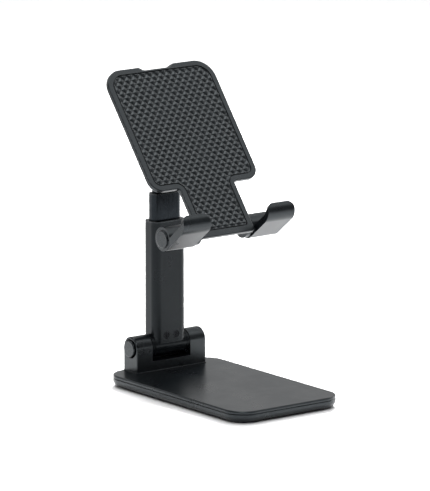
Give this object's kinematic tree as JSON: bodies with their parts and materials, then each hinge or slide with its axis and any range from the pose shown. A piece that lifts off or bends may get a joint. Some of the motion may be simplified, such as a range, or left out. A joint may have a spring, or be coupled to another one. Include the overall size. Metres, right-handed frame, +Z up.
{
  "type": "folding phone stand",
  "caption": "Folding desk stand for a phone: weighted flat base, telescopic post, tilting T-shaped plate with grip pad and fold-out hooks.",
  "frame": {"origin": "centre of the base's resting face, on the surface that the stand stands on", "axes": "+Z up; +X to the user's right, along both hinge axes; -Y towards the user, so the post is at +Y"},
  "size_m": [0.076, 0.1225, 0.1717],
  "materials": {
    "shell_black": "matt moulded ABS, fine spark texture",
    "post_black": "satin moulded ABS",
    "pad_silicone": "soft silicone with a raised woven pattern",
    "foot_rubber": "matt silicone sheet",
    "steel": "bright zinc-plated steel",
    "black_steel": "black oxide steel",
    "ballast_steel": "galvanised steel sheet",
    "bush_acetal": "black acetal, low friction",
    "tube_metal": "black anodised aluminium tube",
    "washer_nylon": "black nylon"
  },
  "bodies": {
    "base": {"base_cover": "shell_black", "base_tray": "shell_black", "ballast_plate": "ballast_steel", "anti_slip_pad": "foot_rubber", "tray_screws": "steel", "hinge_block": "shell_black", "hinge_block_screws": "steel", "hinge_axle": "steel", "hinge_disc_springs": "steel", "hinge_nut": "steel", "hinge_washers": "washer_nylon", "hinge_cap_right": "shell_black", "hinge_cap_left": "shell_black"},
    "lower_post": {"post_foot": "post_black", "outer_tube": "post_black", "foot_screws": "black_steel", "outer_bush": "bush_acetal"},
    "middle_post": {"middle_tube": "tube_metal", "middle_stop": "bush_acetal", "middle_bush": "bush_acetal"},
    "upper_post": {"inner_tube": "tube_metal", "inner_stop": "bush_acetal", "tilt_head": "post_black", "head_screw": "black_steel"},
    "tilt_spindle": {"tilt_pin": "steel"},
    "plate": {"back_plate": "shell_black", "grip_pad": "pad_silicone", "tilt_washers": "washer_nylon", "tilt_cap_right": "shell_black", "tilt_cap_left": "shell_black"},
    "right_hook_spindle": {"hook_pin_right": "steel"},
    "left_hook_spindle": {"hook_pin_left": "steel"},
    "right_hook": {"hook_right": "shell_black", "hook_cap_right": "shell_black"},
    "left_hook": {"hook_left": "shell_black", "hook_cap_left": "shell_black"}
  },
  "joints": [
    {"name": "post_fold", "type": "hinge", "parent": "base", "child": "lower_post", "pos_m": [0, 0.0529, 0.0196], "axis": [1, 0, 0], "range_deg": [0, 90]},
    {"name": "middle_slide", "type": "slide", "parent": "lower_post", "child": "middle_post", "axis": [0, 0, -1], "range_m": [0, 0.0136]},
    {"name": "upper_slide", "type": "slide", "parent": "middle_post", "child": "upper_post", "axis": [0, 0, -1], "range_m": [0, 0.0238]},
    {"name": "plate_stow", "type": "hinge", "parent": "upper_post", "child": "tilt_spindle", "pos_m": [0, 0.0529, 0.1464], "axis": [1, 0, 0], "range_deg": [0, 38.3]},
    {"name": "plate_tilt", "type": "hinge", "parent": "tilt_spindle", "child": "plate", "pos_m": [0, 0.0529, 0.1464], "axis": [1, 0, 0], "range_deg": [-50, 0]},
    {"name": "right_hook_stow", "type": "hinge", "parent": "plate", "child": "right_hook_spindle", "pos_m": [0, 0.00471, 0.0899], "axis": [-1, 0, 0], "range_deg": [0, 90]},
    {"name": "right_hook_fold", "type": "hinge", "parent": "right_hook_spindle", "child": "right_hook", "pos_m": [0, 0.00471, 0.0899], "axis": [1, 0, 0], "range_deg": [-90, 0]},
    {"name": "left_hook_stow", "type": "hinge", "parent": "plate", "child": "left_hook_spindle", "pos_m": [0, 0.00471, 0.0899], "axis": [-1, 0, 0], "range_deg": [0, 90]},
    {"name": "left_hook_fold", "type": "hinge", "parent": "left_hook_spindle", "child": "left_hook", "pos_m": [0, 0.00471, 0.0899], "axis": [1, 0, 0], "range_deg": [-90, 0]}
  ],
  "couplings": [
    {"joint": "plate_stow", "follows": "post_fold", "ratio": 0.42556},
    {"joint": "right_hook_stow", "follows": "post_fold", "ratio": 1},
    {"joint": "left_hook_stow", "follows": "post_fold", "ratio": 1}
  ]
}
